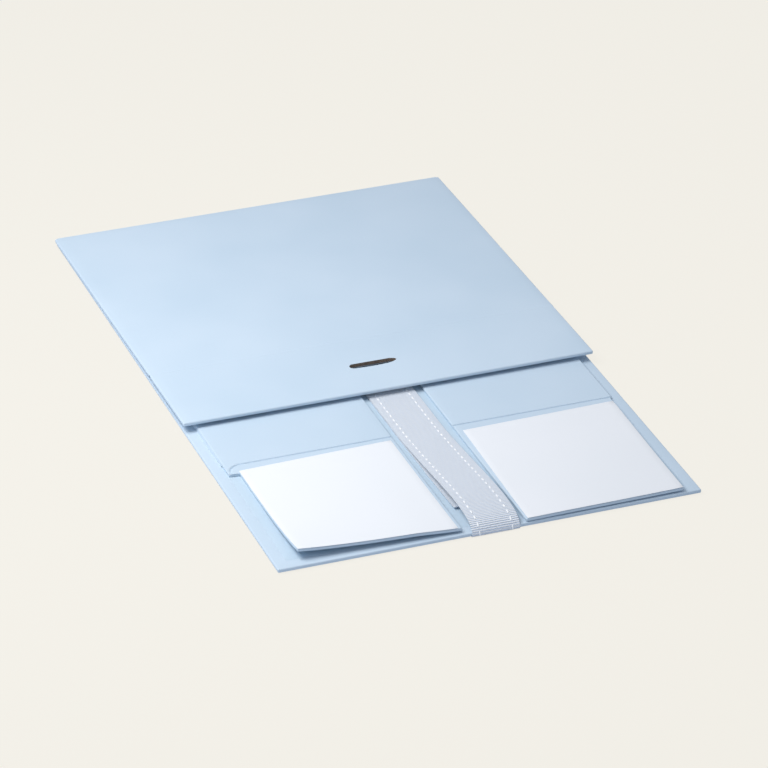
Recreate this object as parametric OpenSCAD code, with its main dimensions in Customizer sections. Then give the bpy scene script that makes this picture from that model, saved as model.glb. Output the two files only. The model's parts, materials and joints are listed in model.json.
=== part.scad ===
// Rigid keepsake box, folded flat as it ships. The base, front wall and back wall lie in one
// plane. Two side walls lie on the base with their glued end flaps over the front wall, and
// the lid with its magnet flap is folded over the back half. A ribbon lies in the channel
// between the side walls and wraps round the front edge. Millimetres, +Z up, +Y to the spine.

/* [Box] */
// Width of the base board and of the front and back walls
body_w = 222; // [160:1:320]
// Depth of the base board between its two hinge gaps
base_d = 165; // [120:1:240]
// Height of the front and back walls, which is their length while they lie flat
wall_h = 95; // [70:1:115]
// Space between two wrapped boards at the front and back hinges
hinge_gap = 3; // [2.8:0.1:5]
// From a hinge line to the edge of the board that turns about it
hinge_in = 0.3; // [0.2:0.1:0.5]

/* [Boards and papers] */
// Thickness of the greyboard in the base, front, back and lid
board_t = 1.6; // [1:0.1:2]
// Thickness of the greyboard in the side walls and end flaps
thin_board_t = 1.2; // [0.8:0.1:1.6]
// Thickness of the cover and lining papers
paper_t = 0.2; // [0.1:0.05:0.3]
// Width of the cover paper's turn-in that shows round a lining
turn_in = 6.5; // [3:0.5:15]
// Radius of the wrapped corners, seen from above
corner_r = 1; // [0.5:0.25:3]
// Space between two layers that lie on each other
layer_gap = 0.1; // [0.05:0.05:0.3]

/* [Lid] */
// How far the lid and its flap stand past the body on each side
lid_over = 1; // [0:0.25:4]
// Depth of the lid's top board
lid_d = 165; // [120:1:200]
// Length of the front flap that carries the magnets
flap_d = 54; // [40:1:70]
// Rise of the spine's turning line beyond the back wall's edge
spine_out = 0.5; // [0.4:0.1:1.5]
// Gap between the lid's underside and the side walls it rests on
lid_clear = 0.1; // [0.05:0.05:0.5]

/* [Side walls] */
// Margin of base board that shows outside a side wall
side_in = 6; // [4:0.5:12]
// How much lower a side wall stands than the front wall
side_drop = 5.8; // [0:0.2:12]
// Least width of the channel between the two side walls while they lie flat
channel_w = 31; // [27:1:60]
// Space between the back wall's inner face, when raised, and a side wall's end
side_clear = 1.2; // [0.5:0.1:3]
// Inset of an end flap from its side wall's outer edge
end_in = 3.2; // [1:0.1:8]
// Distance from the front wall's edge to an end flap's edge
end_short = 2; // [1:0.5:8]
// Length of the ear that an end flap keeps beside its crease
ear_l = 3.6; // [2:0.1:8]
// Radius of the ear's outer corner
ear_r = 2.6; // [1:0.1:3]

/* [Adhesive] */
// Distance from an end flap's crease side to its tape
tape_start = 6.3; // [3:0.1:15]
// Margin from an end flap's other edges to its tape
tape_in = 2.2; // [1:0.1:8]
// Thickness of the double-sided tape
tape_t = 0.1; // [0.05:0.05:0.2]
// Thickness of the white release liner
liner_t = 0.12; // [0.08:0.02:0.3]
// How far the liner stands past the tape on every side
liner_over = 0.5; // [0:0.1:1.5]

/* [Ribbon] */
// Width of the ribbon
ribbon_w = 25; // [10:1:26]
// Thickness of the ribbon
ribbon_t = 0.45; // [0.3:0.05:0.8]
// Distance of the ribbon's turn behind the middle of the base
ribbon_back = 60; // [20:1:75]
// Length of ribbon fixed under the front wall
ribbon_under = 60; // [20:1:65]
// Gap between the ribbon and the front wall's edge
ribbon_gap = 0.25; // [0.1:0.05:0.6]
// Height of the ribbon's arch above its flat run
ribbon_arch = 4.4; // [0:0.2:6]
// Distance of the ribbon's cut end from the front wall's edge
ribbon_end = 24; // [10:1:60]
// Length of ribbon slot in the lid flap
slot_l = 27; // [20:0.5:40]
// Width of ribbon slot in the lid flap
slot_w = 5.4; // [4.5:0.1:8]
// Distance of the slot's middle from the flap's front edge
slot_y = 28.5; // [15:0.5:40]

/* [Closure] */
// Diameter of the magnets and of the steel keepers
magnet_d = 12; // [6:0.5:16]
// Thickness of a magnet
magnet_t = 1; // [0.6:0.1:1.4]
// Thickness of a steel keeper
keeper_t = 0.5; // [0.3:0.1:0.9]
// Distance of the magnets from the middle line
magnet_x = 70; // [30:1:95]
// Distance of the magnets from the flap's front edge
magnet_y = 20; // [12:1:30]

/* [Hidden] */
$fn = 48;

// Colours as the photograph shows them
blue = [0.69, 0.79, 0.89];
lining_blue = [0.72, 0.81, 0.9];
grey = [0.55, 0.54, 0.52];
white = [0.96, 0.96, 0.97];
clear = [0.9, 0.9, 0.85];
metal = [0.62, 0.63, 0.66];
ribbon_blue = [0.76, 0.82, 0.9];

// Layer heights. The ribbon's run under the front wall is what reaches z = 0
ribbon_seat = 0.05;
z_out = ribbon_t + ribbon_seat;
panel_t = board_t + 2 * paper_t;
side_t = thin_board_t + 2 * paper_t;
z_in = z_out + panel_t;
z_side = z_in + layer_gap;
side_top = z_side + side_t;

// Places along Y
base_y = base_d / 2;
wall_y0 = base_y + hinge_gap;
wall_y1 = wall_y0 + wall_h;
front_axis_y = -(wall_y0 - hinge_in);
back_axis_y = wall_y0 - hinge_in;
half_w = body_w / 2;
lid_half = half_w + lid_over;

// A side wall turns about a line just above the base. Its end flap turns about its underside
side_axis_x = half_w - side_in;
side_x1 = side_axis_x - hinge_in;
side_x0 = max(channel_w / 2, side_x1 - wall_h + side_drop);
end_axis_y = front_axis_y + panel_t + hinge_in;
side_y0 = end_axis_y + side_t + hinge_in;
side_y1 = back_axis_y - panel_t - side_clear;
end_y1 = end_axis_y - hinge_in;
end_y0 = -(wall_y1 - end_short);
end_x1 = side_x1 - end_in;

// The lid turns about the spine line and leans back from the side walls' rear ends
spine_y = wall_y1 + spine_out;
spine_lift = 0.15;
spine_z = z_in + spine_lift;
lid_under = 0.15;
lid_tilt = asin((side_top + lid_clear - spine_z - lid_under) / (spine_y - side_y1));
lid_y1 = -spine_out;
lid_y0 = lid_y1 - lid_d;
flap_axis_gap = 0.2;
flap_axis_y = lid_y0 - panel_t - flap_axis_gap;
flap_y1 = flap_axis_y - hinge_in;
flap_y0 = flap_y1 - flap_d;
slot_mid = flap_y0 + slot_y;

// Panels as [x low, x high, y low, y high, z low, thickness]
base_p = [-half_w, half_w, -base_y, base_y, z_out, panel_t];
front_p = [-half_w, half_w, -wall_y1, -wall_y0, z_out, panel_t];
back_p = [-half_w, half_w, wall_y0, wall_y1, z_out, panel_t];
lid_p = [-lid_half, lid_half, lid_y0, lid_y1, lid_under, panel_t];
flap_p = [-lid_half, lid_half, flap_y0, flap_y1, lid_under, panel_t];
side_p = [side_x0, side_x1, side_y0, side_y1, z_side, side_t];
end_p = [side_x0, end_x1, end_y0, end_y1, z_side, side_t];

// Flat outline with round corners
module outline(w, d, r) {
    translate([r, 0]) square([w - 2 * r, d]);
    translate([0, r]) square([w, d - 2 * r]);
    for (x = [r, w - r])
        for (y = [r, d - r])
            translate([x, y]) circle(r);
}

// Plate over the panel p, drawn in by a on every side, from z up to z + t
module plate(p, a, z, t, r) {
    translate([p[0] + a, p[2] + a, z])
        linear_extrude(t) outline(p[1] - p[0] - 2 * a, p[3] - p[2] - 2 * a, r);
}

// The greyboard inside a wrapped panel
module core(p) {
    plate(p, paper_t, p[4] + paper_t, p[5] - 2 * paper_t, corner_r - paper_t / 2);
}

// Lining paper, let in flush on the upper face (up = 1) or the lower face (up = 0)
module inlay(p, up) {
    z = up == 1 ? p[4] + p[5] - paper_t : p[4];
    plate(p, turn_in, z, paper_t, corner_r);
}

// Cover paper: the outer face, the four edges and the turn-ins round the lining
module wrap(p, up) {
    difference() {
        plate(p, 0, p[4], p[5], corner_r);
        core(p);
        inlay(p, up);
    }
}

// Two discs let into a board
module discs(y, z, d, t) {
    for (x = [-magnet_x, magnet_x])
        translate([x, y, z]) cylinder(h = t, d = d);
}

module base_board() {
    color(grey) core(base_p);
}

module base_cover() {
    color(blue) wrap(base_p, 1);
}

module base_lining() {
    color(lining_blue) inlay(base_p, 1);
}

// The keepers lie where the lid flap's magnets meet the raised front wall
keeper_drop = 3;
keeper_y = -(wall_y1 - (flap_d - magnet_y) - keeper_drop);
keeper_z = z_out + paper_t;

module front_wall_board() {
    color(grey) difference() {
        core(front_p);
        discs(keeper_y, keeper_z, magnet_d, keeper_t);
    }
}

module front_wall_cover() {
    color(blue) wrap(front_p, 1);
}

module front_wall_lining() {
    color(lining_blue) inlay(front_p, 1);
}

module front_wall_keepers() {
    color(metal) discs(keeper_y, keeper_z, magnet_d, keeper_t);
}

// Paper that bridges a hinge gap, outer cover below and lining above
module hinge_papers(y) {
    for (z = [z_out, z_in - paper_t])
        translate([-half_w + corner_r, y, z]) cube([body_w - 2 * corner_r, hinge_gap, paper_t]);
}

module front_crease() {
    color(blue) hinge_papers(-wall_y0);
}

module back_wall_board() {
    color(grey) core(back_p);
}

module back_wall_cover() {
    color(blue) wrap(back_p, 1);
}

module back_wall_lining() {
    color(lining_blue) inlay(back_p, 1);
}

module back_crease() {
    color(blue) hinge_papers(base_y);
}

// Cover paper that turns round the spine from the back wall up to the lid
spine_gap = 0.06;
spine_inset = 0.1;
spine_start = wall_y1 + spine_gap;
spine_end = spine_y + paper_t;
spine_low = z_out + spine_inset;
spine_high = spine_z + lid_under + panel_t - spine_inset;
spine_bend = 0.5;

module spine_crease() {
    color(blue) translate([-half_w, 0, 0]) rotate([90, 0, 90]) linear_extrude(body_w)
        polygon([[spine_start, spine_low], [spine_end, spine_low + spine_bend],
            [spine_end, spine_high - spine_bend], [spine_start, spine_high],
            [spine_start, spine_high - paper_t], [spine_y, spine_high - spine_bend - paper_t / 2],
            [spine_y, spine_low + spine_bend + paper_t / 2], [spine_start, spine_low + paper_t]]);
}

// Puts a lid piece, drawn level from the spine line, at its resting lean
module on_lid() {
    translate([0, spine_y, spine_z]) rotate([-lid_tilt, 0, 0]) children();
}

// Slot for the ribbon, with round ends, through the lid flap
cut_past = 1;

module ribbon_slot() {
    end_x = (slot_l - slot_w) / 2;
    translate([0, slot_mid, lid_under - cut_past]) linear_extrude(panel_t + 2 * cut_past) {
        square([slot_l - slot_w, slot_w], center = true);
        for (x = [-end_x, end_x])
            translate([x, 0]) circle(d = slot_w);
    }
}

module lid_board() {
    color(grey) on_lid() core(lid_p);
}

module lid_cover() {
    color(blue) on_lid() wrap(lid_p, 0);
}

module lid_lining() {
    color(lining_blue) on_lid() inlay(lid_p, 0);
}

magnet_z = lid_under + paper_t;

module lid_flap_board() {
    color(grey) on_lid() difference() {
        core(flap_p);
        ribbon_slot();
        discs(flap_y0 + magnet_y, magnet_z, magnet_d, magnet_t);
    }
}

module lid_flap_cover() {
    color(blue) on_lid() difference() {
        wrap(flap_p, 0);
        ribbon_slot();
    }
}

module lid_flap_lining() {
    color(lining_blue) on_lid() difference() {
        inlay(flap_p, 0);
        ribbon_slot();
    }
}

module lid_flap_magnets() {
    color(metal) on_lid() discs(flap_y0 + magnet_y, magnet_z, magnet_d, magnet_t);
}

module lid_flap_crease() {
    color(blue) on_lid()
        for (z = [lid_under, lid_under + board_t + paper_t])
            translate([-lid_half + corner_r, flap_y1, z])
                cube([2 * (lid_half - corner_r), lid_y0 - flap_y1, paper_t]);
}

// Side wall pieces are drawn for the right and mirrored for the left
module side_board() {
    color(grey) core(side_p);
}

module side_cover() {
    color(blue) wrap(side_p, 0);
}

module side_lining() {
    color(lining_blue) inlay(side_p, 0);
}

// Paper hinge that stands beside the wall's outer edge and is glued to the base
module side_crease() {
    color(blue) translate([side_axis_x, side_y0 + corner_r, z_in])
        cube([paper_t, side_y1 - side_y0 - 2 * corner_r, side_t]);
}

// End flap drawn in by a on every side: its plate, and the round-cornered ear by the crease
module end_plate(a, z, t) {
    w = side_x1 - end_x1 + turn_in;
    r = ear_r - a / 2;
    plate(end_p, a, z, t, corner_r - a / 2);
    translate([end_x1 - turn_in - a, end_y1 - ear_l + a, z]) linear_extrude(t) {
        square([w - r, ear_l - 2 * a]);
        square([w, ear_l - 2 * a - r]);
        translate([w - r, ear_l - 2 * a - r]) circle(r);
    }
}

module end_core() {
    end_plate(paper_t, z_side + paper_t, side_t - 2 * paper_t);
}

module end_board() {
    color(grey) end_core();
}

module end_cover() {
    color(blue) difference() {
        end_plate(0, z_side, side_t);
        end_core();
        inlay(end_p, 0);
    }
}

module end_lining() {
    color(lining_blue) inlay(end_p, 0);
}

// Tape and liner on the outer face, which lies upward while the flap is flat
tape_forward = 1;

module sticker(grow, z, t) {
    x0 = side_x0 + tape_in - grow;
    y0 = end_y0 + tape_in - grow - tape_forward;
    w = end_x1 - tape_in + grow - x0;
    translate([x0, y0, z]) cube([w, end_y1 - tape_start + grow - y0, t]);
}

module end_tape() {
    color(clear) sticker(0, side_top, tape_t);
}

module end_liner() {
    color(white) sticker(liner_over, side_top + tape_t, liner_t);
}

module end_crease() {
    color(blue)
        for (z = [z_side, side_top - paper_t])
            translate([side_x0 + turn_in, end_y1, z])
                cube([end_x1 - side_x0 - 2 * turn_in, side_y0 - end_y1, paper_t]);
}

module left() {
    mirror([1, 0, 0]) children();
}

module left_wall_board() { left() side_board(); }
module left_wall_cover() { left() side_cover(); }
module left_wall_lining() { left() side_lining(); }
module left_wall_crease() { left() side_crease(); }
module right_wall_board() { side_board(); }
module right_wall_cover() { side_cover(); }
module right_wall_lining() { side_lining(); }
module right_wall_crease() { side_crease(); }
module left_end_flap_board() { left() end_board(); }
module left_end_flap_cover() { left() end_cover(); }
module left_end_flap_lining() { left() end_lining(); }
module left_end_flap_tape() { left() end_tape(); }
module left_end_flap_liner() { left() end_liner(); }
module left_end_flap_crease() { left() end_crease(); }
module right_end_flap_board() { end_board(); }
module right_end_flap_cover() { end_cover(); }
module right_end_flap_lining() { end_lining(); }
module right_end_flap_tape() { end_tape(); }
module right_end_flap_liner() { end_liner(); }
module right_end_flap_crease() { end_crease(); }

// Ribbon routes are seen from the side, as [y, z] points along the middle of the ribbon
rib_seat = 0.1;
rib_part = 0.2;
rib_low = z_in + rib_seat + ribbon_t / 2;
rib_high = rib_low + ribbon_t + rib_part;
rib_turn = (rib_high - rib_low) / 2;
rib_in = 2;
rib_y0 = -(base_y - rib_in);
channel_route = concat([[rib_y0, rib_low], [ribbon_back, rib_low]],
    [for (a = [-60:30:60]) [ribbon_back + rib_turn * cos(a), rib_low + rib_turn + rib_turn * sin(a)]],
    [[ribbon_back, rib_high], [rib_y0, rib_high]]);
edge_y = -(wall_y1 + ribbon_gap + ribbon_t / 2);
loop_in = 1;
loop_y0 = front_axis_y - panel_t - loop_in;
tail_y0 = ribbon_end - wall_y1;
tail_l = loop_y0 - tail_y0;
loop_l = loop_y0 - edge_y;
half_rib = ribbon_t / 2;
tail_rise = 0.3;

// Height of the arch at a share t of the way to the front edge
function arch(t) = ribbon_arch * pow(sin(180 * min(1, pow(t, 1.2) / 1.7)), 1.5);

// The loop rises off the front wall, bends over its edge and runs back underneath
loop_route = concat([for (t = [0:0.125:0.875]) [loop_y0 - t * loop_l, rib_high + arch(t)]],
    [[edge_y + 5, rib_high + 0.55 * ribbon_arch], [edge_y + 2, rib_high + 0.22 * ribbon_arch],
    [edge_y + 0.5, rib_low + 0.15], [edge_y, z_in - 0.3], [edge_y, z_out + 0.35],
    [edge_y + 0.12, half_rib + 0.2], [edge_y + 0.4, half_rib + 0.03], [edge_y + 1, half_rib],
    [edge_y + ribbon_under, half_rib]]);
tail_route = [for (t = [0:0.25:1]) [loop_y0 - t * tail_l, rib_low + tail_rise * t * t]];

// Unit vector across a route at point i
function across(r, i) =
    let (a = r[max(i - 1, 0)], b = r[min(i + 1, len(r) - 1)], d = b - a)
    [-d[1], d[0]] / norm(d);

// Strip of ribbon that follows a route
module ribbon(r) {
    n = len(r);
    near = [for (i = [0:n - 1]) r[i] + across(r, i) * ribbon_t / 2];
    far = [for (i = [n - 1:-1:0]) r[i] - across(r, i) * ribbon_t / 2];
    color(ribbon_blue) translate([-ribbon_w / 2, 0, 0])
        rotate([90, 0, 90]) linear_extrude(ribbon_w) polygon(concat(near, far));
}

module ribbon_channel_run() { ribbon(channel_route); }
module ribbon_front_loop() { ribbon(loop_route); }
module ribbon_tail() { ribbon(tail_route); }

base_board();
base_cover();
base_lining();
front_wall_board();
front_wall_cover();
front_wall_lining();
front_wall_keepers();
front_crease();
back_wall_board();
back_wall_cover();
back_wall_lining();
back_crease();
spine_crease();
lid_board();
lid_cover();
lid_lining();
lid_flap_board();
lid_flap_cover();
lid_flap_lining();
lid_flap_magnets();
lid_flap_crease();
left_wall_board();
left_wall_cover();
left_wall_lining();
left_wall_crease();
right_wall_board();
right_wall_cover();
right_wall_lining();
right_wall_crease();
left_end_flap_board();
left_end_flap_cover();
left_end_flap_lining();
left_end_flap_tape();
left_end_flap_liner();
left_end_flap_crease();
right_end_flap_board();
right_end_flap_cover();
right_end_flap_lining();
right_end_flap_tape();
right_end_flap_liner();
right_end_flap_crease();
ribbon_channel_run();
ribbon_front_loop();
ribbon_tail();
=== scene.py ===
import json
import math
import bpy
import bmesh
from mathutils import Matrix, Vector

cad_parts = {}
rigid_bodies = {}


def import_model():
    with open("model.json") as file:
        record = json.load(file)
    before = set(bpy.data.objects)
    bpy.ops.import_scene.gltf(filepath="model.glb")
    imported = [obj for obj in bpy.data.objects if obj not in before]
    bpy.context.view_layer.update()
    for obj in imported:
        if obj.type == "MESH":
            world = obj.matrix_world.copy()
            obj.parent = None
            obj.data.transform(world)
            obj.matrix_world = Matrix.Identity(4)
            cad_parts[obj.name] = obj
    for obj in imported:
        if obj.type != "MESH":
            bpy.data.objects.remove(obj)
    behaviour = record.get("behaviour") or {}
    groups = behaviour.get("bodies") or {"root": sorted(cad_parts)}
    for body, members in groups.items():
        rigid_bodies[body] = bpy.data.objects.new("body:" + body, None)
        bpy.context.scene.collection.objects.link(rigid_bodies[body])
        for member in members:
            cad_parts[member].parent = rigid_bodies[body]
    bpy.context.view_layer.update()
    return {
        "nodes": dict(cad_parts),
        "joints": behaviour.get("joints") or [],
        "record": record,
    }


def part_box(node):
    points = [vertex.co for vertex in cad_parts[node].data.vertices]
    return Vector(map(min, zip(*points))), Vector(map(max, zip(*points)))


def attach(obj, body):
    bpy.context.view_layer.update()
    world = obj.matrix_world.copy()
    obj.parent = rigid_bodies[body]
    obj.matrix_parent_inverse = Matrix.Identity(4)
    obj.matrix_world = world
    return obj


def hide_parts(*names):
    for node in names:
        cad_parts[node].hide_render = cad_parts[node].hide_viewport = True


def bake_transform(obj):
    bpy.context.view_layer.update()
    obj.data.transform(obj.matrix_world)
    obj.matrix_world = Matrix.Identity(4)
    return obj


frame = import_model()
print("frame loaded")

mm = 0.001


# Where the CAD pieces lie at rest, in millimetres: lowest and highest corners
def corners(node):
    low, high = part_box(node)
    return [c / mm for c in low], [c / mm for c in high]


baseLow, baseHigh = corners("base_cover")
frontLow, frontHigh = corners("front_wall_cover")
backLow, backHigh = corners("back_wall_cover")
wallLow, wallHigh = corners("right_wall_cover")
endLow, endHigh = corners("right_end_flap_cover")
linerLow, linerHigh = corners("right_end_flap_liner")
tapeLow, tapeHigh = corners("right_end_flap_tape")
lidLow, lidHigh = corners("lid_cover")
flapLow, flapHigh = corners("lid_flap_cover")
panelThick = baseHigh[2] - baseLow[2]
joints = {j["name"]: j for j in frame["joints"]}


def jointAt(name):
    return [c / mm for c in joints[name]["pos_m"]]


spineY = jointAt("lid_hinge")[1]
lidWidth = lidHigh[0] - lidLow[0]

# The lid leans: it rises from its rear edge, just inside the spine, to its front edge
lidBack = spineY - 0.5
lidRise = (flapHigh[2] - lidLow[2] - panelThick) / (lidBack - flapLow[1])


def lidUnder(y):
    return lidLow[2] + (lidBack - y) * lidRise


# Camera: a long lens from the front left, fitted to the panels' edges in the photograph
view = {"azimuth": 20.94, "elevation": 29.27, "roll": 0.52, "lensPixels": 4474, "distance": 2304.5,
        "target": (2.27, -24.04, 0.5), "imagePixels": 768, "sensor": 36.0}


def makeCamera():
    a, e, r = (math.radians(view[k]) for k in ("azimuth", "elevation", "roll"))
    look = Vector((math.sin(a) * math.cos(e), math.cos(a) * math.cos(e), -math.sin(e)))
    side = Vector((math.cos(a), -math.sin(a), 0))
    up = side.cross(look)
    right = side * math.cos(r) + up * math.sin(r)
    top = up * math.cos(r) - side * math.sin(r)
    data = bpy.data.cameras.new("camera")
    data.sensor_width = view["sensor"]
    data.lens = view["lensPixels"] / view["imagePixels"] * view["sensor"]
    data.clip_end = 20
    camera = bpy.data.objects.new("camera", data)
    bpy.context.scene.collection.objects.link(camera)
    place = (Vector(view["target"]) - look * view["distance"]) * mm
    turn = Matrix((right, top, -look)).transposed().to_4x4()
    camera.matrix_world = Matrix.Translation(place) @ turn
    bpy.context.scene.camera = camera


makeCamera()
print("camera placed")


# Colour and material helpers
def hexToLinear(text):
    parts = [int(text[i:i + 2], 16) / 255 for i in (1, 3, 5)]
    return tuple(c / 12.92 if c <= 0.04045 else ((c + 0.055) / 1.055) ** 2.4 for c in parts) + (1,)


def newMaterial(name, roughness, ior=1.5, metallic=0.0):
    material = bpy.data.materials.new(name)
    material.use_nodes = True
    shader = material.node_tree.nodes["Principled BSDF"]
    shader.inputs["Roughness"].default_value = roughness
    shader.inputs["Metallic"].default_value = metallic
    if metallic < 0.5:
        shader.inputs["IOR"].default_value = ior
    return material, material.node_tree, shader


def addNode(tree, kind, settings=None, inputs=None):
    node = tree.nodes.new(kind)
    for key, value in (settings or {}).items():
        setattr(node, key, value)
    for key, value in (inputs or {}).items():
        if isinstance(value, bpy.types.NodeSocket):
            tree.links.new(value, node.inputs[key])
        else:
            node.inputs[key].default_value = value
    return node


def perSize(size):
    return 1 / (size * mm)     # a texture's scale for features of this many millimetres


# A noise in object space, drawn out into a colour ramp between two hex colours
def noiseColours(tree, where, size, low, high, span=(0.35, 0.65), detail=3.0):
    noise = addNode(tree, "ShaderNodeTexNoise", {},
                    {"Vector": where, "Scale": perSize(size), "Detail": detail})
    ramp = addNode(tree, "ShaderNodeValToRGB", {}, {"Fac": noise.outputs["Fac"]})
    for element, at, colour in zip(ramp.color_ramp.elements, span, (low, high)):
        element.position = at
        element.color = hexToLinear(colour)
    return ramp.outputs["Color"]


# Dyed paper, smooth calendered: an even matte blue with soft clouds, and short fibres that
# only show as a faint grain
def paperMaterial(name, look):
    material, tree, shader = newMaterial(name, look["roughness"])
    where = addNode(tree, "ShaderNodeTexCoord").outputs["Object"]
    clouds = noiseColours(tree, where, look["cloud"], look["dark"], look["light"], (0.3, 0.7), 2.0)
    fibre = addNode(tree, "ShaderNodeTexNoise", {},
                    {"Vector": where, "Scale": perSize(look["fibre"]), "Detail": 4.0})
    grain = addNode(tree, "ShaderNodeMix", {"data_type": "RGBA", "blend_type": "SOFT_LIGHT"},
                    {"Factor": look["grain"], 6: clouds, 7: fibre.outputs["Color"]})
    tree.links.new(grain.outputs[2], shader.inputs["Base Color"])
    ripple = addNode(tree, "ShaderNodeTexNoise", {},
                     {"Vector": where, "Scale": perSize(look["ripple"]), "Detail": 1.0})
    bumpWide = addNode(tree, "ShaderNodeBump", {}, {"Strength": look["rippleBump"], "Distance": 1 * mm,
                                                    "Height": ripple.outputs["Fac"]})
    bumpFine = addNode(tree, "ShaderNodeBump", {}, {"Strength": look["fibreBump"], "Distance": 0.1 * mm,
                                                    "Height": fibre.outputs["Fac"],
                                                    "Normal": bumpWide.outputs["Normal"]})
    tree.links.new(bumpFine.outputs["Normal"], shader.inputs["Normal"])
    return material


coverLook = {"roughness": 0.6, "dark": "#c4d6e5", "light": "#cbdbe9", "cloud": 60, "fibre": 0.8,
             "grain": 0.06, "ripple": 45, "rippleBump": 0.06, "fibreBump": 0.12}
liningLook = {"roughness": 0.66, "dark": "#bed2e1", "light": "#c5d7e5", "cloud": 50, "fibre": 0.9,
              "grain": 0.06, "ripple": 40, "rippleBump": 0.05, "fibreBump": 0.12}
linerLook = {"roughness": 0.45, "dark": "#f0f2f5", "light": "#f3f4f7", "cloud": 90, "fibre": 0.7,
             "grain": 0.01, "ripple": 60, "rippleBump": 0.02, "fibreBump": 0.04}
boardLook = {"roughness": 0.9, "dark": "#6f5f55", "light": "#8a7a6c", "cloud": 3, "fibre": 0.5,
             "grain": 0.35, "ripple": 6, "rippleBump": 0.1, "fibreBump": 0.6}


# Double-sided acrylic tape: clear, slightly glossy
def tapeMaterial():
    material, tree, shader = newMaterial("acrylicTape", 0.25, 1.47)
    where = addNode(tree, "ShaderNodeTexCoord").outputs["Object"]
    colour = noiseColours(tree, where, 12, "#e4e6e2", "#eff0ec")
    tree.links.new(colour, shader.inputs["Base Color"])
    return material


# Nickel-plated neodymium and bare steel discs: faint turned grain
def discMaterial(name, dark, light, roughness):
    material, tree, shader = newMaterial(name, roughness, metallic=1.0)
    where = addNode(tree, "ShaderNodeTexCoord").outputs["Object"]
    colour = noiseColours(tree, where, 0.6, dark, light)
    tree.links.new(colour, shader.inputs["Base Color"])
    return material


# Polyester grosgrain, woven with thick weft ribs straight across. The rib pitch is a real
# 1.1 mm, and the ribs are raised so that they show where the ribbon bends. The valleys between
# the ribs are also coloured darker than the crests: painted shade in the rib valleys
ribbonLook = {"rib": 1.1, "roughness": 0.6, "shadedValley": "#dbe7f8", "crest": "#fafcff", "bump": 1.0,
              "depth": 0.4, "sheen": 0.25, "fuzz": 0.25}


def ribbonMaterial():
    material, tree, shader = newMaterial("grosgrainPolyester", ribbonLook["roughness"])
    shader.inputs["Sheen Weight"].default_value = ribbonLook["sheen"]
    along = addNode(tree, "ShaderNodeUVMap", {"uv_map": "alongRibbon"}).outputs["UV"]
    ribs = addNode(tree, "ShaderNodeTexWave", {"wave_type": "BANDS", "bands_direction": "Y"},
                   {"Vector": along, "Scale": math.tau / 20 / (ribbonLook["rib"] * mm),
                    "Distortion": 0.6, "Detail": 1.0, "Detail Scale": 2.0})
    where = addNode(tree, "ShaderNodeTexCoord").outputs["Object"]
    fuzz = addNode(tree, "ShaderNodeTexNoise", {}, {"Vector": where, "Scale": perSize(0.7), "Detail": 3.0})
    height = addNode(tree, "ShaderNodeMath", {"operation": "MULTIPLY_ADD"},
                     {0: fuzz.outputs["Fac"], 1: ribbonLook["fuzz"], 2: ribs.outputs["Fac"]})
    # the rib valleys take a darker colour than the crests: painted shade between the ribs
    ramp = addNode(tree, "ShaderNodeValToRGB", {}, {"Fac": ribs.outputs["Fac"]})
    for element, at, colour in zip(ramp.color_ramp.elements, (0.1, 0.75), ("shadedValley", "crest")):
        element.position = at
        element.color = hexToLinear(ribbonLook[colour])
    tree.links.new(ramp.outputs["Color"], shader.inputs["Base Color"])
    bump = addNode(tree, "ShaderNodeBump", {},
                   {"Strength": ribbonLook["bump"], "Distance": ribbonLook["depth"] * mm,
                    "Height": height.outputs["Value"]})
    tree.links.new(bump.outputs["Normal"], shader.inputs["Normal"])
    return material


# Twisted white polyester sewing thread
def threadMaterial():
    material, tree, shader = newMaterial("polyesterThread", 0.5)
    shader.inputs["Sheen Weight"].default_value = 0.3
    where = addNode(tree, "ShaderNodeTexCoord").outputs["Object"]
    colour = noiseColours(tree, where, 0.4, "#f8fafd", "#ffffff")
    tree.links.new(colour, shader.inputs["Base Color"])
    return material


coverPaper = paperMaterial("dyedCoverPaper", coverLook)
liningPaper = paperMaterial("dyedLiningPaper", liningLook)
linerPaper = paperMaterial("siliconedReleasePaper", linerLook)
greyboard = paperMaterial("rawGreyboard", boardLook)
clearTape = tapeMaterial()
magnetNickel = discMaterial("nickelPlating", "#9a9ca0", "#b4b6ba", 0.3)
keeperSteel = discMaterial("bareSteel", "#84868a", "#9c9ea2", 0.42)
grosgrain = ribbonMaterial()
thread = threadMaterial()
print("materials made")

nodeFinishes = {"greyboard": greyboard, "cover_paper": coverPaper, "lining_paper": liningPaper,
                "adhesive_tape": clearTape, "release_liner": linerPaper, "magnet": magnetNickel,
                "steel_keeper": keeperSteel, "ribbon": grosgrain}
slotOf = {s["node"]: s["material_slot"] for s in frame["record"]["subparts"]}
for node, obj in frame["nodes"].items():
    for each in [obj, *obj.children_recursive]:
        for place in getattr(each, "material_slots", []):
            place.material = nodeFinishes[slotOf[node]]
print("CAD nodes finished")


# Mesh helpers
def makePiece(name, verts, faces, material):
    mesh = bpy.data.meshes.new(name)
    mesh.from_pydata([[c * mm for c in v] for v in verts], [], faces)
    mesh.materials.append(material)
    mesh.validate()
    obj = bpy.data.objects.new(name, mesh)
    bpy.context.scene.collection.objects.link(obj)
    for face in mesh.polygons:
        face.use_smooth = True
    return obj


def sharpen(obj, degrees=40):
    obj.data.set_sharp_from_angle(angle=math.radians(degrees))
    return obj


# Turns every face of a closed piece outward
def faceOutward(obj):
    bm = bmesh.new()
    bm.from_mesh(obj.data)
    bmesh.ops.recalc_face_normals(bm, faces=bm.faces)
    bm.to_mesh(obj.data)
    bm.free()


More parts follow.
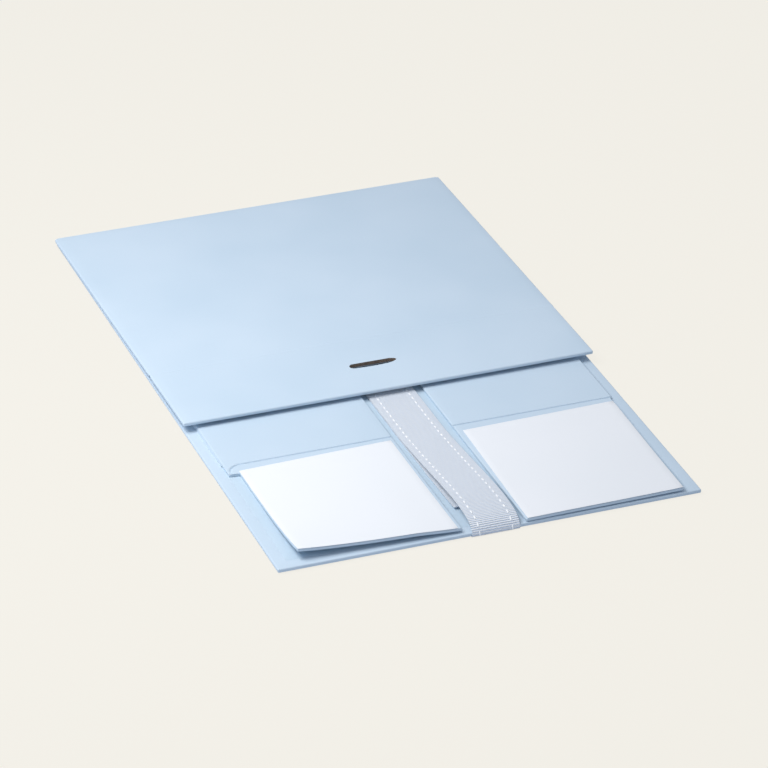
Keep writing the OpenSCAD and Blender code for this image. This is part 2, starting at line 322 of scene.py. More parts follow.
# Cuts one closed piece out of another
def cutAway(obj, cutter, materialMode):
    cut = obj.modifiers.new("slot", "BOOLEAN")
    cut.operation = "DIFFERENCE"
    cut.object = cutter
    cut.solver = "EXACT"
    cut.material_mode = materialMode
    graph = bpy.context.evaluated_depsgraph_get()
    mesh = bpy.data.meshes.new_from_object(obj.evaluated_get(graph))
    obj.modifiers.clear()
    obj.data = mesh
    sharpen(obj)


# Grid lines from a to b, close together at both rims and at the extra places
def gridLines(a, b, step, rim, extras=()):
    near = [rim * s for s in (0, 0.08, 0.22, 0.42, 0.68, 1.0)]
    count = max(2, round((b - a - 2 * rim) / step))
    lines = [a + d for d in near] + [b - d for d in near]
    lines += [a + rim + (b - a - 2 * rim) * i / count for i in range(1, count)]
    kept = []
    for line in sorted(lines + [e for e in extras if a + rim < e < b - rim]):
        if not kept or line - kept[-1] > 0.02:
            kept.append(line)
    return kept


# Squares the corner of a sheet round: maps a corner square of size r onto a quarter disc
def roundCorner(x, y, x0, x1, y0, y1, r):
    cx = x0 + r if x < x0 + r else x1 - r if x > x1 - r else None
    cy = y0 + r if y < y0 + r else y1 - r if y > y1 - r else None
    if cx is None or cy is None or r <= 0:
        return x, y
    u, v = (x - cx) / r, (y - cy) / r
    return cx + r * u * math.sqrt(1 - v * v / 2), cy + r * v * math.sqrt(1 - u * u / 2)


# A wrapped board or a sheet: two gridded faces joined round the rim by a rounded edge.
# top and under give the heights, and shape may move a point of the outline sideways
def makeSlab(name, xs, ys, top, under, rim, corner, material, shape=None):
    x0, x1, y0, y1 = xs[0], xs[-1], ys[0], ys[-1]
    nx, ny = len(xs), len(ys)
    upper, lower = [], []
    for y in ys:
        for x in xs:
            px, py = roundCorner(x, y, x0, x1, y0, y1, corner)
            if shape:
                px, py = shape(px, py)
            high, low = top(px, py), under(px, py)
            r = min(rim, (high - low) * 0.48)
            d = min(x - x0, x1 - x, y - y0, y1 - y) * (r / rim if rim else 1)
            drop = r - math.sqrt(max(0, r * r - (r - d) ** 2)) if d < r else 0
            upper.append((px, py, high - drop))
            lower.append((px, py, low + drop))
    verts = upper + lower
    n = nx * ny
    faces = []
    for j in range(ny - 1):
        for i in range(nx - 1):
            a = j * nx + i
            faces.append((a, a + 1, a + nx + 1, a + nx))
            faces.append((n + a, n + a + nx, n + a + nx + 1, n + a + 1))
    rimLoop = list(range(nx)) + [j * nx + nx - 1 for j in range(1, ny)]
    rimLoop += [(ny - 1) * nx + i for i in range(nx - 2, -1, -1)] + [j * nx for j in range(ny - 2, 0, -1)]
    for a, b in zip(rimLoop, rimLoop[1:] + rimLoop[:1]):
        faces.append((a, n + a, n + b, b))
    return sharpen(makePiece(name, verts, faces, material))


def smooth(t):
    t = min(1, max(0, t))
    return t * t * (3 - 2 * t)


# A groove of this depth and half width, d away from its line
def groove(d, half, depth):
    return -depth * (0.5 + 0.5 * math.cos(math.pi * min(1, abs(d) / half)))


# How far a piece of board stands clear of a hinge gap that runs from a to b: 0 in it, 1 outside
def outsideGap(y, a, b, ease=0.35):
    return max(smooth((a - y) / ease + 0.5), smooth((y - b) / ease + 0.5))


# Ten even grid lines across a hinge gap, and a few more past each side of it
def acrossGap(gap, past):
    return [gap[0] + (gap[1] - gap[0]) * i / 10 for i in range(-past, 11 + past)]


board = {"rim": 0.75, "corner": 1.1, "step": 5.0, "paper": 0.4}
liningSheet = {"inset": 6.5, "proud": 0.07, "thick": 0.14, "rim": 0.05, "corner": 0.8}


# Base and front wall: two boards in one wrap, with only paper across the gap between them
def makeBase():
    look = {"grooveDepth": 0.12, "underGroove": 0.25}
    gap = (frontHigh[1], baseLow[1])
    middle = (gap[0] + gap[1]) / 2
    halfGap = (gap[1] - gap[0]) / 2
    xs = gridLines(baseLow[0], baseHigh[0], board["step"], board["rim"])
    ys = gridLines(frontLow[1], baseHigh[1], board["step"], board["rim"], acrossGap(gap, 3))

    def top(x, y):
        return baseHigh[2] + groove(y - middle, halfGap, look["grooveDepth"])

    def under(x, y):
        return baseLow[2] + (1 - outsideGap(y, *gap)) * look["underGroove"]

    piece = makeSlab("baseAndFrontWall", xs, ys, top, under, board["rim"], board["corner"], coverPaper)
    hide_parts("base_board", "base_cover", "front_wall_board", "front_wall_cover", "front_crease")
    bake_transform(piece)


# Lining paper over base and front wall, in one sheet, with its edge inside the turned-in rim
def makeBaseLining():
    look = {"proud": 0.03, "grooveDepth": 0.12}
    inset, rim = liningSheet["inset"], liningSheet["rim"]
    gap = (frontHigh[1], baseLow[1])
    middle = (gap[0] + gap[1]) / 2
    halfGap = (gap[1] - gap[0]) / 2
    xs = gridLines(baseLow[0] + inset, baseHigh[0] - inset, board["step"], rim)
    ys = gridLines(frontLow[1] + inset, baseHigh[1] - inset, board["step"], rim, acrossGap(gap, 3))

    def top(x, y):
        return baseHigh[2] + look["proud"] + groove(y - middle, halfGap, look["grooveDepth"])

    def under(x, y):
        return top(x, y) - liningSheet["thick"]

    piece = makeSlab("baseLining", xs, ys, top, under, rim, liningSheet["corner"], liningPaper)
    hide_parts("base_lining", "front_wall_lining")
    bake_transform(piece)


# Back wall: a wrapped board with its own lining, and the paper hinge to the base
def makeBackWall():
    strips = {"over": 1.5, "fromSide": 0.25, "steps": 16, "rim": 0.06, "corner": 0.3}
    xs = gridLines(backLow[0], backHigh[0], board["step"], board["rim"])
    ys = gridLines(backLow[1], backHigh[1], board["step"], board["rim"])
    wall = makeSlab("backWall", xs, ys, lambda x, y: backHigh[2], lambda x, y: backLow[2],
                    board["rim"], board["corner"], coverPaper)
    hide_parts("back_wall_board", "back_wall_cover")
    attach(wall, "back_wall")
    inset, rim = liningSheet["inset"], liningSheet["rim"]
    face = backHigh[2] + liningSheet["proud"]
    xs = gridLines(backLow[0] + inset, backHigh[0] - inset, board["step"], rim)
    ys = gridLines(backLow[1] + inset, backHigh[1] - inset, board["step"], rim)
    lining = makeSlab("backWallLining", xs, ys, lambda x, y: face, lambda x, y: face - liningSheet["thick"],
                      rim, liningSheet["corner"], liningPaper)
    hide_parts("back_wall_lining")
    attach(lining, "back_wall")
    for name, low, high, material, slotName in (
            ("backHingePaper", baseLow[2] + 0.03, baseHigh[2] - 0.48, coverPaper, "cover_paper"),
            ("backHingeLining", baseHigh[2] - 0.33, baseHigh[2] - 0.19, liningPaper, "lining_paper")):
        start, end = baseHigh[1] - strips["over"], backLow[1] + strips["over"]
        xs = gridLines(baseLow[0] + strips["fromSide"], baseHigh[0] - strips["fromSide"],
                       board["step"], strips["rim"])
        ys = [start + (end - start) * i / strips["steps"] for i in range(strips["steps"] + 1)]
        strip = makeSlab(name, xs, ys, lambda x, y: high, lambda x, y: low,
                         strips["rim"], strips["corner"], material)
        if name == "backHingePaper":
            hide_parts("back_crease")
        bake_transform(strip)


# Spine: the cover paper turns from the back wall's edge up to the lid in a soft round fold
def makeSpine():
    look = {"thick": 0.22, "out": 0.72, "sink": 1.2, "tuck": 0.12, "fromEdge": 0.05, "fullness": 0.7,
            "fromSide": 0.6, "across": 44, "steps": 18}
    low, high = backLow[2] + look["fromEdge"], lidLow[2] + panelThick - look["fromEdge"]
    mid, half = (low + high) / 2, (high - low) / 2
    path = [(backHigh[1] - look["sink"], low + look["tuck"])]
    for i in range(look["steps"] + 1):
        a = -math.pi / 2 + math.pi * i / look["steps"]
        bulge = math.copysign(abs(math.cos(a)) ** look["fullness"], math.cos(a))
        path.append((backHigh[1] + look["out"] * bulge, mid + half * math.sin(a)))
    path.append((backHigh[1] - look["sink"], high - look["tuck"]))
    x0, x1 = backLow[0] + look["fromSide"], backHigh[0] - look["fromSide"]
    count = look["across"]
    verts, faces = [], []
    n = len(path)
    for k in range(count + 1):
        x = x0 + (x1 - x0) * k / count
        for side in (0, 1):
            for i, (y, z) in enumerate(path):
                ay, az = path[max(i - 1, 0)]
                by, bz = path[min(i + 1, n - 1)]
                size = math.hypot(by - ay, bz - az)
                ny, nz = (bz - az) / size, -(by - ay) / size
                inward = look["thick"] * side
                verts.append((x, y - ny * inward, z - nz * inward))
    ring = 2 * n
    for k in range(count):
        for i in range(n - 1):
            a, b = k * ring + i, (k + 1) * ring + i
            faces.append((a, b, b + 1, a + 1))
            faces.append((a + n, a + n + 1, b + n + 1, b + n))
        for i, flip in ((0, 0), (n - 1, 1)):
            a, b = k * ring + i, (k + 1) * ring + i
            faces.append((a, a + n, b + n, b) if not flip else (a, b, b + n, a + n))
    for k, flip in ((0, 0), (count, 1)):
        for i in range(n - 1):
            a = k * ring + i
            faces.append((a, a + 1, a + n + 1, a + n) if not flip else (a, a + n, a + n + 1, a + 1))
    piece = makePiece("spineFold", verts, faces, coverPaper)
    faceOutward(piece)
    sharpen(piece)
    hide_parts("spine_crease")
    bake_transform(piece)


# A capsule that cuts the ribbon slot: round at the left, drawn to a point at the right, and
# its front edge pressed out a little by the ribbon
ribbonSlot = {"length": 26.0, "width": 4.7, "shift": 0.3, "fromFront": 27.7, "point": 3.4, "belly": 0.5}


def slotOutline():
    half, r, point = ribbonSlot["length"] / 2, ribbonSlot["width"] / 2, ribbonSlot["point"]
    points = []
    for i in range(13):
        a = math.pi / 2 + math.pi * i / 12
        points.append((-half + r + r * math.cos(a), r * math.sin(a)))
    for i in range(1, 8):
        t = i / 8
        points.append((-half + r + (ribbonSlot["length"] - r - point) * t,
                       -r - ribbonSlot["belly"] * math.sin(math.pi * t)))
    return points + [(half - point, -r * 0.9), (half - 1.2, -r * 0.45), (half, r * 0.1),
                     (half - 1.0, r * 0.6), (half - point, r * 0.95)]


# Lid and magnet flap: two boards under one cover sheet, which shows the gap as a faint line
def makeLid():
    look = {"grooveDepth": 0.11, "bow": 0.175, "bowLevel": 0.4, "flatBack": 60, "paperSpare": 0.2,
            "liningSpare": 0.25, "gapEase": 0.1}
    hinge = (flapHigh[1], lidLow[1])
    middle = (hinge[0] + hinge[1]) / 2
    halfGap = (hinge[1] - hinge[0]) / 2
    extras = acrossGap(hinge, 4)
    xs = gridLines(lidLow[0], lidHigh[0], board["step"], board["rim"])
    ys = gridLines(flapLow[1], lidHigh[1], board["step"], board["rim"], extras)

    def bow(x, y):     # boards pull slightly hollow as the glue dries, though not at the spine
        across = (x / (lidWidth / 2)) ** 2
        return look["bow"] * (across - look["bowLevel"]) * smooth((lidHigh[1] - y) / look["flatBack"])

    def fold(y, spare):     # between the boards only paper is left, at the top
        gap = 1 - outsideGap(y, hinge[0] + look["gapEase"], hinge[1] - look["gapEase"])
        return gap * (panelThick - board["paper"] - spare)

    def under(x, y):
        return lidUnder(y) + fold(y, look["paperSpare"]) + bow(x, y)

    def top(x, y):
        return lidUnder(y) + panelThick + groove(y - middle, halfGap, look["grooveDepth"]) + bow(x, y)

    piece = makeSlab("lidAndFlap", xs, ys, top, under, board["rim"], board["corner"], coverPaper)
    slotY = flapLow[1] + ribbonSlot["fromFront"]
    outline = [(x + ribbonSlot["shift"], y + slotY) for x, y in slotOutline()]
    n, past = len(outline), 2
    low, high = lidUnder(slotY) - past, lidUnder(slotY) + panelThick + past
    verts = [(x, y, low) for x, y in outline] + [(x, y, high) for x, y in outline]
    faces = [tuple(reversed(range(n))), tuple(range(n, 2 * n))]
    faces += [(i, (i + 1) % n, n + (i + 1) % n, n + i) for i in range(n)]
    cutter = makePiece("slotCutter", verts, faces, greyboard)
    cutAway(piece, cutter, "TRANSFER")     # the slot's wall shows the bare greyboard
    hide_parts("lid_board", "lid_cover", "lid_flap_board", "lid_flap_cover", "lid_flap_crease")
    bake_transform(piece)

    inset, rim = liningSheet["inset"], liningSheet["rim"]
    xs = gridLines(lidLow[0] + inset, lidHigh[0] - inset, board["step"], rim)
    ys = gridLines(flapLow[1] + inset, lidHigh[1] - inset, board["step"], rim, extras)

    def liningUnder(x, y):
        return lidUnder(y) - liningSheet["proud"] + fold(y, look["liningSpare"]) + bow(x, y)

    lining = makeSlab("lidLining", xs, ys, lambda x, y: liningUnder(x, y) + liningSheet["thick"], liningUnder,
                      rim, liningSheet["corner"], liningPaper)
    cutAway(lining, cutter, "INDEX")
    bpy.data.objects.remove(cutter)
    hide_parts("lid_lining", "lid_flap_lining")
    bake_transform(lining)


# Side walls with their adhesive end flaps. The left flap has opened a little and sprung up at
# its outer front corner, and keeps a long ear by the crease. The right one lies almost flat
sideLook = {"rim": 0.55, "corner": 1.2, "step": 4.0, "grooveHalf": 0.7, "grooveDepth": 0.8, "fold": 0.5,
            "curlFrom": -96, "held": 0.45, "heldWidth": 0.3, "slantLength": 30, "trimWidth": 14,
            "outerZone": (16, 12), "underThin": 0.35, "openPower": 1.7, "springPower": 4, "outerPower": 3}
sides = {
    "left": {"earLength": 8.2, "earStep": 5.6, "earRound": 6.2, "taper": 0.0, "trim": 0.0,
             "frontSlant": -3.6, "reach": 0.0, "open": 1.9, "spring": 3.6,
             "linerIn": 0.2, "linerOut": -0.8, "linerBack": (3.4, 0.3), "linerTaper": 0.0},
    "right": {"earLength": 0.6, "earStep": 0.9, "earRound": 0.4, "taper": 1.9, "trim": 1.9,
              "frontSlant": 0.6, "reach": 0.9, "open": 0.35, "spring": 0.35,
              "linerIn": 3.0, "linerOut": 3.6, "linerBack": (0.2, 2.4), "linerTaper": 1.9},
}


# How far along the flap a point is, from 0 at the crease to 1 at its front edge, and how far out
def flapShare(x, y):
    away = min(1, max(0, (y - sideLook["curlFrom"]) / (endLow[1] - sideLook["curlFrom"])))
    outward = min(1, max(0, (abs(x) - wallLow[0]) / (wallHigh[0] - wallLow[0])))
    return away, outward


# How far a point of the flap is moved forward: the front edge isn't quite square or in its place
def forward(side, x, y):
    how = sides[side]
    outward = flapShare(x, y)[1]
    slant = how["frontSlant"] * (outward if how["frontSlant"] < 0 else 1 - outward)
    return (slant + how["reach"]) * smooth(1 - (y - endLow[1]) / sideLook["slantLength"])


# How far a point of the flap is lifted: it opens evenly, and its outer corner springs up more
def curl(side, x, y):
    how = sides[side]
    away, outward = flapShare(x, y)
    inner = sideLook["held"]     # the inner corner stays lower
    held = inner + (1 - inner) * smooth(outward / sideLook["heldWidth"])
    corner = away ** sideLook["springPower"] * outward ** sideLook["outerPower"]
    return how["open"] * away ** sideLook["openPower"] * held + how["spring"] * corner


def makeSide(side, sign):
    how = sides[side]
    creaseY = (endHigh[1] + wallLow[1]) / 2
    earY = creaseY - how["earLength"]
    outer = wallHigh[0]
    edge = outer - how["earStep"]
    extraX = [edge - 5 + 0.35 * i for i in range(26)]
    extraY = [creaseY + 0.22 * i for i in range(-8, 8)] + [creaseY - 0.5 * i for i in range(4, 16)]
    extraY += [earY + 0.2 * i for i in range(-7, 9)]
    xs = gridLines(wallLow[0], outer, sideLook["step"], sideLook["rim"], extraX)
    ys = gridLines(endLow[1], wallHigh[1], sideLook["step"], sideLook["rim"], extraY)

    def shape(x, y):     # draws the flap's outer edge in past the ear, and slants its front edge
        away, outward = flapShare(x, y)
        narrow = how["earStep"] * smooth((earY - y) / 1.0 + 0.5) + how["taper"] * away
        zone, ease = sideLook["outerZone"]
        rimZone = smooth((x - (outer - zone)) / ease)
        inner = how["trim"] * (1 - smooth((x - wallLow[0]) / sideLook["trimWidth"]))
        return sign * (x - narrow * rimZone + inner), y - forward(side, x, y)

    def creaseLine(x):     # the crease runs straight, then turns down round the ear
        reach = min(1, max(0, (abs(x) - (outer - 1.6 - how["earRound"])) / how["earRound"]))
        return creaseY - (how["earLength"] - 0.8) * (1 - math.sqrt(1 - reach * reach))

    def top(x, y):
        slope = (creaseLine(abs(x) + 0.05) - creaseLine(abs(x) - 0.05)) / 0.1
        d = (y - creaseLine(x)) / math.hypot(1, slope)
        return wallHigh[2] + curl(side, x, y) + groove(d, sideLook["grooveHalf"], sideLook["grooveDepth"])

    def under(x, y):
        gap = abs(y - creaseY) < 0.9 and abs(x) < edge
        thin = (1 - smooth(abs(y - creaseY) - 0.4)) if gap else 0
        return wallLow[2] + curl(side, x, y) + thin * sideLook["underThin"]

    piece = makeSlab(side + "WallAndEndFlap", xs, ys, top, under, sideLook["rim"], sideLook["corner"],
                     coverPaper, shape)
    if sign < 0:
        piece.data.flip_normals()
    wall, flap = side + "_wall", side + "_end_flap"
    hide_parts(wall + "_board", wall + "_cover", flap + "_board", flap + "_cover", flap + "_crease")
    pivotY = jointAt(side + "_end_flap_hinge")[1]     # the end flap hinge's place along y
    start, end = (0, pivotY * mm, 0), (0, (pivotY - sideLook["fold"]) * mm, 0)
    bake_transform(piece)
    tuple(start)
    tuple(end)

    # The inner lining, on the underside while the wall lies flat
    sheet = {"inset": 6.5, "outerInset": 4, "frontInset": 8.5, "step": 6.0, "proud": 0.02, "sunk": 0.06}
    x0, x1 = wallLow[0] + sheet["inset"], edge - how["taper"] - sheet["outerInset"]
    y0, y1 = endLow[1] + sheet["frontInset"], wallHigh[1] - sheet["inset"]
    xs = gridLines(x0, x1, sheet["step"], 0.04)
    ys = gridLines(y0, y1, sheet["step"], 0.04, [creaseY + 0.3 * i for i in range(-5, 6)])
    lining = makeSlab(side + "WallLining", xs, ys, lambda x, y: wallLow[2] + sheet["sunk"] + curl(side, x, y),
                      lambda x, y: wallLow[2] - sheet["proud"] + curl(side, x, y), 0.03,
                      liningSheet["corner"], liningPaper, lambda x, y: (sign * x, y))
    if sign < 0:
        lining.data.flip_normals()
    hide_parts(wall + "_lining", flap + "_lining")
    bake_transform(lining)
    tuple(start)
    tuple(end)

    # Tape and release liner lie on the flap and bend with it
    rim, step, corner = 0.05, 3.5, 0.4
    for name, low, high, thick, lift, material, slotName in (
            ("Tape", tapeLow, tapeHigh, 0.1, 0.0, clearTape, "adhesive_tape"),
            ("Liner", linerLow, linerHigh, 0.16, 0.1, linerPaper, "release_liner")):
        past = 0.6 if lift else 0     # the liner comes a little further forward than its tape
        xs = gridLines(low[0] + how["linerIn"], high[0] + how["linerOut"], step, rim)
        ys = gridLines(low[1] - past, high[1], step, rim)

        def lay(x, y):     # a hand-laid sheet is never quite square
            away, outward = flapShare(x, y)
            back = how["linerBack"][0] * (1 - outward) + how["linerBack"][1] * outward
            return sign * (x - how["linerTaper"] * away), y + back * (1 - away) - forward(side, x, y)

        def height(x, y):
            return wallHigh[2] + lift + curl(side, x, y) + (linerSpring(y) if lift else 0)

        strip = makeSlab(side + name, xs, ys, lambda x, y: height(x, y) + thick, height, rim, corner,
                         material, lay)
        if sign < 0:
            strip.data.flip_normals()
        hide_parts(flap + "_" + name.lower())
        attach(strip, flap)

    # The paper hinge that joins the wall's outer edge to the base
    look = {"thick": 0.14, "fromEnd": 2, "along": 40}
    x = jointAt("right_wall_hinge")[0]
    path = [(x + 0.1, baseHigh[2] - 0.12), (x + 0.06, baseHigh[2] + 0.02), (x - 0.06, baseHigh[2] + 0.3),
            (x - 0.22, wallHigh[2] - 0.95), (x - 0.4, wallHigh[2] - 0.65), (x - 0.8, wallHigh[2] - 0.5)]
    y0, y1, count = wallLow[1] + look["fromEnd"], wallHigh[1] - look["fromEnd"], look["along"]
    verts, faces = [], []
    n = len(path)
    for k in range(count + 1):
        y = y0 + (y1 - y0) * k / count
        verts += [(sign * px, y, pz + look["thick"]) for px, pz in path]
        verts += [(sign * px, y, pz) for px, pz in path]
    ring = 2 * n
    loop = list(range(n)) + list(range(2 * n - 1, n - 1, -1))
    for k in range(count):
        for a, b in zip(loop, loop[1:] + loop[:1]):
            faces.append((k * ring + a, k * ring + b, (k + 1) * ring + b, (k + 1) * ring + a))
    faces.append(tuple(loop))
    faces.append(tuple(count * ring + i for i in reversed(loop)))
    hinge = makePiece(side + "WallHingePaper", verts, faces, coverPaper)
    faceOutward(hinge)
    sharpen(hinge)
    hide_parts(wall + "_crease")
    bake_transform(hinge)


# The liner stands a hair off its tape towards the front edge
def linerSpring(y):
    look = {"from": -150, "lift": 0.12}
    away = min(1, max(0, (y - look["from"]) / (endLow[1] - look["from"])))
    return look["lift"] * away ** 2


# Ribbon: one length of grosgrain. It starts at a cut end on the front wall, runs back between
# the side walls, turns, comes forward on itself, arches over the front edge and runs under it
ribbonPiece = {"width": 25.0, "thick": 0.42, "x": 0.3, "spacing": 1.0, "across": 12, "low": 0.12,
               "rise": 0.68, "back": 60.0, "cut": -157.0, "under": 60.0, "arch": 4.6, "edge": 0.25,
               "offTable": 0.03, "least": 0.02, "drift": 0.012, "driftFrom": -84, "thinEdge": 0.35}


# The ribbon's middle line, seen from the side
def ribbonRoute():
    low = baseHigh[2] + ribbonPiece["low"] + ribbonPiece["thick"] / 2
    high = low + ribbonPiece["rise"]
    r = (high - low) / 2
    edge = frontLow[1] - ribbonPiece["edge"] - ribbonPiece["thick"] / 2
    arch = ribbonPiece["arch"]
    bottom = ribbonPiece["thick"] / 2 + ribbonPiece["offTable"]
    points = [(ribbonPiece["cut"], low + 0.9), (ribbonPiece["cut"] + 12, low + 0.45), (-128, low + 0.1),
              (-100, low), (-60, low), (0, low), (ribbonPiece["back"] - 6, low)]
    for a in range(-60, 61, 30):
        points.append((ribbonPiece["back"] + 1.6 * r * math.cos(math.radians(a)),
                       low + r + r * math.sin(math.radians(a))))
    points += [(ribbonPiece["back"] - 6, high), (0, high), (-60, high), (-84, high + 0.1),
               (-104, high + 0.25 * arch), (-124, high + 0.55 * arch), (-144, high + 0.88 * arch),
               (-158, high + arch), (-168, high + 0.9 * arch), (edge + 5.5, high + 0.62 * arch),
               (edge + 2.2, high + 0.24 * arch), (edge + 0.5, baseHigh[2] + 0.2),
               (edge, frontLow[2] + 0.9), (edge + 0.25, bottom + 0.3), (edge + 1.3, bottom),
               (edge + 6, bottom), (edge + 30, bottom), (edge + ribbonPiece["under"], bottom)]
    return points


# A smooth curve through the points, in steps of about the spacing
def smoothRoute(points, spacing):
    out = []
    for i in range(len(points) - 1):
        p0 = points[max(i - 1, 0)]
        p1, p2 = points[i], points[i + 1]
        p3 = points[min(i + 2, len(points) - 1)]
        length = math.dist(p1, p2)
        steps = max(2, math.ceil(length / spacing))
        d01, d23 = max(math.dist(p0, p1), 1e-6), max(math.dist(p2, p3), 1e-6)
        m1 = [((p2[k] - p1[k]) / length + (p1[k] - p0[k]) / d01) / 2 * length for k in (0, 1)]
        m2 = [((p2[k] - p1[k]) / length + (p3[k] - p2[k]) / d23) / 2 * length for k in (0, 1)]
        for s in range(steps):
            t = s / steps
            h = (2 * t ** 3 - 3 * t ** 2 + 1, t ** 3 - 2 * t ** 2 + t,
                 -2 * t ** 3 + 3 * t ** 2, t ** 3 - t ** 2)
            out.append(tuple(h[0] * p1[k] + h[1] * m1[k] + h[2] * p2[k] + h[3] * m2[k] for k in (0, 1)))
    out.append(points[-1])
    return out


def makeRibbon():
    width, thick = ribbonPiece["width"], ribbonPiece["thick"]
    lowest = thick / 2 + ribbonPiece["least"]
    route = [(y, max(z, lowest)) for y, z in smoothRoute(ribbonRoute(), ribbonPiece["spacing"])]
    n, m = len(route), ribbonPiece["across"]
    lengths = [0.0]
    for a, b in zip(route, route[1:]):
        lengths.append(lengths[-1] + math.dist(a, b))
    normals = []
    for i in range(n):
        a, b = route[max(i - 1, 0)], route[min(i + 1, n - 1)]
        size = math.dist(a, b)
        normals.append((-(b[1] - a[1]) / size, (b[0] - a[0]) / size))

    def surface(i, x, side):
        y, z = route[i]
        ny, nz = normals[i]
        skew = ribbonPiece["drift"] * max(0, ribbonPiece["driftFrom"] - y)     # sideways over the arch
        away = thick / 2 * side * (1 - ribbonPiece["thinEdge"] * (abs(x) / (width / 2)) ** 8)
        return (ribbonPiece["x"] + x + skew, y + ny * away, z + nz * away)

    verts, faces, uvs = [], [], []
    for side in (1, -1):
        for i in range(n):
            for j in range(m + 1):
                x = -width / 2 + width * j / m
                verts.append(surface(i, x, side))
                uvs.append((x * mm, lengths[i] * mm))
    half = n * (m + 1)
    for i in range(n - 1):
        for j in range(m):
            a = i * (m + 1) + j
            b = a + m + 1
            faces.append((a, b, b + 1, a + 1))
            faces.append((half + a, half + a + 1, half + b + 1, half + b))
        for j, flip in ((0, 0), (m, 1)):
            a, b = i * (m + 1) + j, (i + 1) * (m + 1) + j
            quad = (a, half + a, half + b, b)
            faces.append(tuple(reversed(quad)) if flip else quad)
    for i, flip in ((0, 1), (n - 1, 0)):
        for j in range(m):
            a = i * (m + 1) + j
            quad = (a, half + a, half + a + 1, a + 1)
            faces.append(tuple(reversed(quad)) if flip else quad)
    ribbon = makePiece("closingRibbon", verts, faces, grosgrain)
    layer = ribbon.data.uv_layers.new(name="alongRibbon")
    for loop in ribbon.data.loops:
        layer.data[loop.index].uv = uvs[loop.vertex_index]
    faceOutward(ribbon)
    sharpen(ribbon, 60)
    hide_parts("ribbon_channel_run", "ribbon_front_loop", "ribbon_tail")

    # Saddle stitch: short white dashes along both edges, on the face that shows
    stitch = {"inset": 3.9, "pitch": 4.5, "dash": 2.4, "radius": 0.5, "rise": 0.5, "sides": 6, "lowest": 0.62,
              "ends": ((0.0, 0.3), (0.1, 0.75), (0.3, 1.0), (0.7, 1.0), (0.9, 0.75), (1.0, 0.3))}
    verts, faces = [], []
    shownFrom = lengths[route.index(max(route, key=lambda p: p[0]))]
    shownTo = next(s for s, (y, z) in zip(lengths, route) if s > shownFrom and z < stitch["lowest"])
    count = int((shownTo - shownFrom) / stitch["pitch"])

    def pointAt(s, x, out):
        i = min(n - 2, max(0, next((k for k in range(n - 1) if lengths[k + 1] >= s), n - 2)))
        t = (s - lengths[i]) / (lengths[i + 1] - lengths[i])
        a, b = surface(i, x, -1), surface(i + 1, x, -1)
        ny = normals[i][0] * (1 - t) + normals[i + 1][0] * t
        nz = normals[i][1] * (1 - t) + normals[i + 1][1] * t
        return (a[0] * (1 - t) + b[0] * t, a[1] * (1 - t) + b[1] * t - ny * out,
                a[2] * (1 - t) + b[2] * t - nz * out)

    for row in (-1, 1):
        x = row * (width / 2 - stitch["inset"])
        for k in range(count):
            s0 = shownTo - stitch["dash"] - k * stitch["pitch"]
            rings = []
            for f, size in stitch["ends"]:
                s = s0 + stitch["dash"] * f
                ring = []
                for c in range(stitch["sides"]):
                    a = math.tau * c / stitch["sides"]
                    ring.append(len(verts))
                    verts.append(pointAt(s, x + stitch["radius"] * size * math.cos(a),
                                         stitch["radius"] * stitch["rise"] * size * math.sin(a)))
                rings.append(ring)
            for r0, r1 in zip(rings, rings[1:]):
                for c in range(stitch["sides"]):
                    d = (c + 1) % stitch["sides"]
                    faces.append((r0[c], r0[d], r1[d], r1[c]))
            faces.append(tuple(reversed(rings[0])))
            faces.append(tuple(rings[-1]))
    stitches = makePiece("ribbonStitches", verts, faces, thread)
    faceOutward(stitches)
    for piece in (ribbon, stitches):
        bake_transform(piece)
    print("ribbon length in mm", round(lengths[-1], 1))


makeBase()
makeBaseLining()
makeBackWall()
makeSpine()
makeLid()
print("wrapped boards made")
makeSide("left", -1)
makeSide("right", 1)
print("side walls made")
makeRibbon()

# Floor and light
studio = {"floor": "#f3f0e8", "bounce": "#d6deea", "glow": 0.94, "size": 6.0, "world": "#dae2ee",
          "worldLevel": 0.52, "lampLevel": 0.75, "lampPlace": (-340, 0, 570), "lampSize": 460}


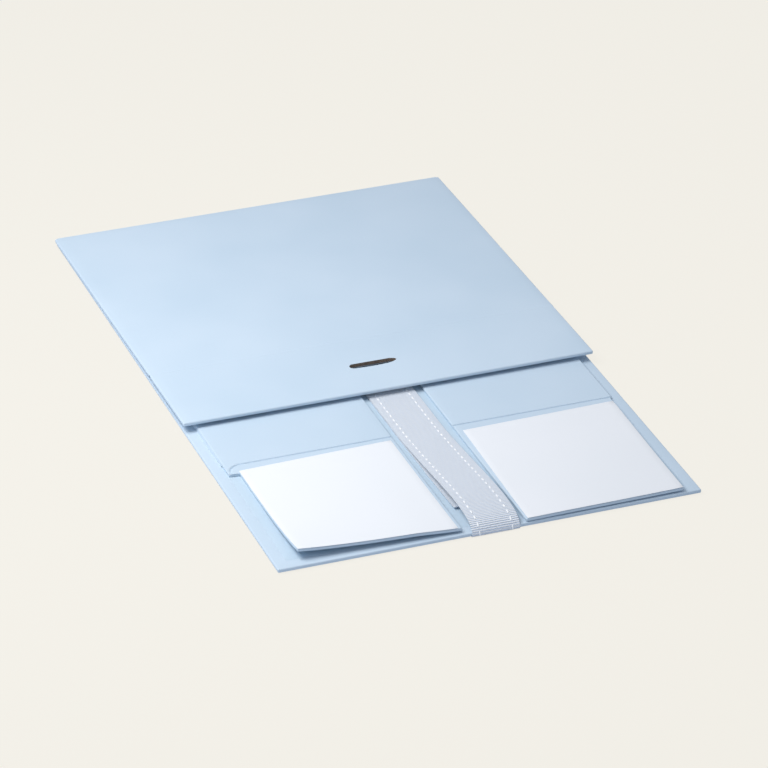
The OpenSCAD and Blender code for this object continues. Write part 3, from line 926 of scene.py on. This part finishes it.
# The floor shows the same pale cream all over, with a little of it left to the shadows, and
# sends a bluer, dimmer light up than it shows, so the boards' edges stay darker than their faces
def makeFloor():
    size = studio["size"] / 2
    mesh = bpy.data.meshes.new("floor")
    square = [(-size, -size, 0), (size, -size, 0), (size, size, 0), (-size, size, 0)]
    mesh.from_pydata(square, [], [(0, 1, 2, 3)])
    floor = bpy.data.objects.new("floor", mesh)
    bpy.context.scene.collection.objects.link(floor)
    material, tree, shader = newMaterial("paleSweep", 0.9)
    tree.nodes.remove(shader)
    rays = addNode(tree, "ShaderNodeLightPath").outputs
    seen = addNode(tree, "ShaderNodeEmission", {}, {"Color": hexToLinear(studio["floor"])})
    lit = addNode(tree, "ShaderNodeBsdfDiffuse", {}, {"Color": hexToLinear(studio["floor"])})
    dim = addNode(tree, "ShaderNodeBsdfDiffuse", {}, {"Color": hexToLinear(studio["bounce"])})
    shown = addNode(tree, "ShaderNodeMixShader", {},
                    {"Fac": studio["glow"], 1: lit.outputs[0], 2: seen.outputs[0]})
    mirrored = addNode(tree, "ShaderNodeMath", {"operation": "MAXIMUM"},
                       {0: rays["Is Glossy Ray"], 1: rays["Is Transmission Ray"]})
    direct = addNode(tree, "ShaderNodeMath", {"operation": "MAXIMUM"},
                     {0: rays["Is Camera Ray"], 1: mirrored.outputs[0]})
    either = addNode(tree, "ShaderNodeMixShader", {},
                     {"Fac": direct.outputs[0], 1: dim.outputs[0], 2: shown.outputs[0]})
    tree.links.new(either.outputs[0], tree.nodes["Material Output"].inputs["Surface"])
    mesh.materials.append(material)


# A soft box high on the left, so that the light falls off a little towards the right, and a
# dim bluish room
def makeLight():
    world = bpy.data.worlds.new("studioWorld")
    world.use_nodes = True
    world.node_tree.nodes["Background"].inputs["Color"].default_value = hexToLinear(studio["world"])
    world.node_tree.nodes["Background"].inputs["Strength"].default_value = studio["worldLevel"]
    bpy.context.scene.world = world
    box = bpy.data.lights.new("softBox", "AREA")
    box.shape = "DISK"
    box.size = studio["lampSize"] * mm
    place = Vector(studio["lampPlace"]) * mm
    reach = place.length ** 3 / place.z     # for the same light at the middle from any place
    box.energy = studio["lampLevel"] * math.pi ** 2 * reach
    lamp = bpy.data.objects.new("softBox", box)
    bpy.context.scene.collection.objects.link(lamp)
    lamp.location = place
    lamp.rotation_euler = place.to_track_quat("Z", "Y").to_euler()


makeFloor()
makeLight()
bpy.context.scene.view_settings.view_transform = "Standard"
print("studio lit")
